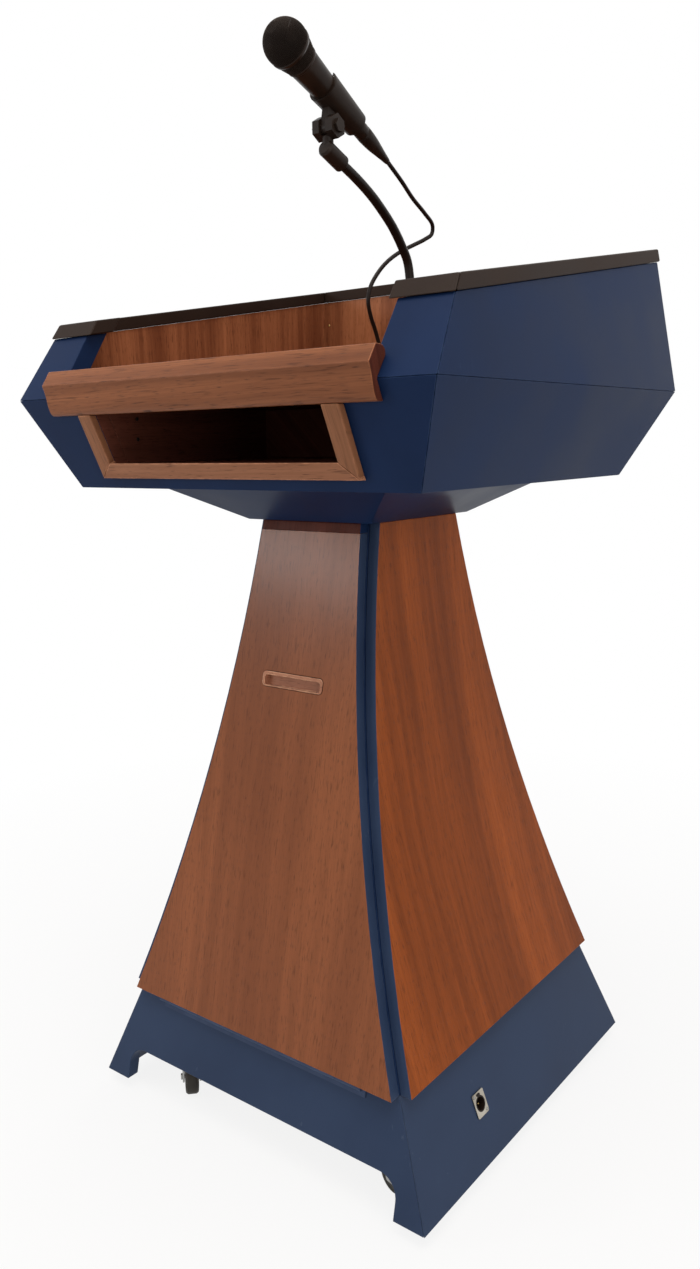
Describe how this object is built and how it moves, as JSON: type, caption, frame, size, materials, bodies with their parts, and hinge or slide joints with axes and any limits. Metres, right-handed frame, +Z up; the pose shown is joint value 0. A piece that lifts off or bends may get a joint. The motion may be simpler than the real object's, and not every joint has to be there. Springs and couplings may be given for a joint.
{
  "type": "presentation lectern",
  "caption": "Wheeled presentation lectern: flared wood column with drop-down door, blue cabinet with reading well and open compartment, and a wired microphone on a gooseneck.",
  "frame": {"origin": "on the floor under the middle of the overall footprint", "axes": "+Z up, the speaker stands on the -Y side and looks along +Y, +X is on the speaker right"},
  "size_m": [0.6572, 0.644, 1.3985],
  "materials": {
    "blue_laminate": "satin dark blue laminate on board",
    "veneer": "satin brown wood veneer with straight grain",
    "trim_wood": "satin brown wood mouldings, grain along the length",
    "dark_veneer": "dark brown veneer",
    "bare_board": "plain board inside the plinth and cabinet",
    "rim_edge": "semi-matte near-black edge moulding",
    "zinc_steel": "zinc plated steel",
    "nickel_plate": "nickel plated plate",
    "tyre": "grey-black wheel tyre",
    "black_plastic": "black moulded plastic",
    "black_metal": "black satin sleeve",
    "mic_paint": "dark satin paint",
    "grille_mesh": "dark woven wire",
    "cable_jacket": "black cable jacket"
  },
  "bodies": {
    "root": {"base_board": "bare_board", "book_rail": "trim_wood", "cabinet_audience_lower_board": "blue_laminate", "cabinet_audience_upper_wall": "blue_laminate", "cabinet_floor": "bare_board", "cabinet_left_lower_board": "blue_laminate", "cabinet_left_upper_wall": "blue_laminate", "cabinet_right_lower_board": "blue_laminate", "cabinet_right_upper_wall": "blue_laminate", "cabinet_speaker_lower_board": "blue_laminate", "cable_grommet": "black_plastic", "caster_plate_audience_left": "zinc_steel", "caster_plate_audience_right": "zinc_steel", "caster_plate_speaker_left": "zinc_steel", "caster_plate_speaker_right": "zinc_steel", "collar": "blue_laminate", "column_audience_panel": "veneer", "column_left_panel": "veneer", "column_left_side": "blue_laminate", "column_right_panel": "veneer", "column_right_side": "blue_laminate", "compartment_frame": "trim_wood", "door_head_rail": "dark_veneer", "gooseneck": "black_metal", "hinge_fixed_leaf": "black_metal", "inlet_plate": "nickel_plate", "inlet_socket": "black_plastic", "left_cheek": "blue_laminate", "mic_cable": "cable_jacket", "neck_flange": "black_metal", "plinth_audience_board": "blue_laminate", "plinth_left_board": "blue_laminate", "plinth_right_board": "blue_laminate", "plinth_speaker_board": "blue_laminate", "reading_surface": "veneer", "right_cheek": "blue_laminate", "rim_audience": "rim_edge", "rim_left": "rim_edge", "rim_left_return": "rim_edge", "rim_right": "rim_edge", "rim_right_return": "rim_edge", "storage_box": "dark_veneer", "swivel_block": "black_plastic", "well_lining": "veneer"},
    "door": {"access_door": "veneer", "door_pull": "trim_wood", "hinge_door_leaf": "black_metal"},
    "microphone": {"mic_clip": "black_plastic", "mic_grille": "grille_mesh", "mic_body": "mic_paint", "mic_plug": "black_plastic"},
    "switch": {"mic_switch": "black_plastic"},
    "swivel_speaker_left": {"caster_fork_speaker_left": "zinc_steel"},
    "wheel_speaker_left": {"caster_wheel_speaker_left": "tyre"},
    "swivel_speaker_right": {"caster_fork_speaker_right": "zinc_steel"},
    "wheel_speaker_right": {"caster_wheel_speaker_right": "tyre"},
    "swivel_audience_left": {"caster_fork_audience_left": "zinc_steel"},
    "wheel_audience_left": {"caster_wheel_audience_left": "tyre"},
    "swivel_audience_right": {"caster_fork_audience_right": "zinc_steel"},
    "wheel_audience_right": {"caster_wheel_audience_right": "tyre"}
  },
  "joints": [
    {"name": "door_hinge", "type": "hinge", "parent": "root", "child": "door", "pos_m": [0, -0.25234, 0.1604], "axis": [1, 0, 0], "range_deg": [0, 80]},
    {"name": "clip_tilt", "type": "hinge", "parent": "root", "child": "microphone", "pos_m": [0.075, -0.1436, 1.30173], "axis": [1, 0, 0], "range_deg": [-15, 40], "deforming": ["mic_cable"]},
    {"name": "switch_slide", "type": "slide", "parent": "microphone", "child": "switch", "axis": [0, 0.9125, -0.4091], "range_m": [0, 0.005]},
    {"name": "swivel_speaker_left", "type": "hinge", "parent": "root", "child": "swivel_speaker_left", "pos_m": [-0.178, -0.2014, 0.055], "axis": [0, 0, 1], "continuous": true},
    {"name": "roll_speaker_left", "type": "hinge", "parent": "swivel_speaker_left", "child": "wheel_speaker_left", "pos_m": [-0.16103, -0.21837, 0.025], "axis": [0.7071, 0.7071, 0], "continuous": true},
    {"name": "swivel_speaker_right", "type": "hinge", "parent": "root", "child": "swivel_speaker_right", "pos_m": [0.178, -0.2014, 0.055], "axis": [0, 0, 1], "continuous": true},
    {"name": "roll_speaker_right", "type": "hinge", "parent": "swivel_speaker_right", "child": "wheel_speaker_right", "pos_m": [0.20118, -0.20761, 0.025], "axis": [0.2588, 0.9659, 0], "continuous": true},
    {"name": "swivel_audience_left", "type": "hinge", "parent": "root", "child": "swivel_audience_left", "pos_m": [-0.178, 0.213, 0.055], "axis": [0, 0, 1], "continuous": true},
    {"name": "roll_audience_left", "type": "hinge", "parent": "swivel_audience_left", "child": "wheel_audience_left", "pos_m": [-0.15452, 0.21799, 0.025], "axis": [-0.2079, 0.9781, 0], "continuous": true},
    {"name": "swivel_audience_right", "type": "hinge", "parent": "root", "child": "swivel_audience_right", "pos_m": [0.178, 0.213, 0.055], "axis": [0, 0, 1], "continuous": true},
    {"name": "roll_audience_right", "type": "hinge", "parent": "swivel_audience_right", "child": "wheel_audience_right", "pos_m": [0.20083, 0.20558, 0.025], "axis": [0.309, 0.9511, 0], "continuous": true}
  ]
}
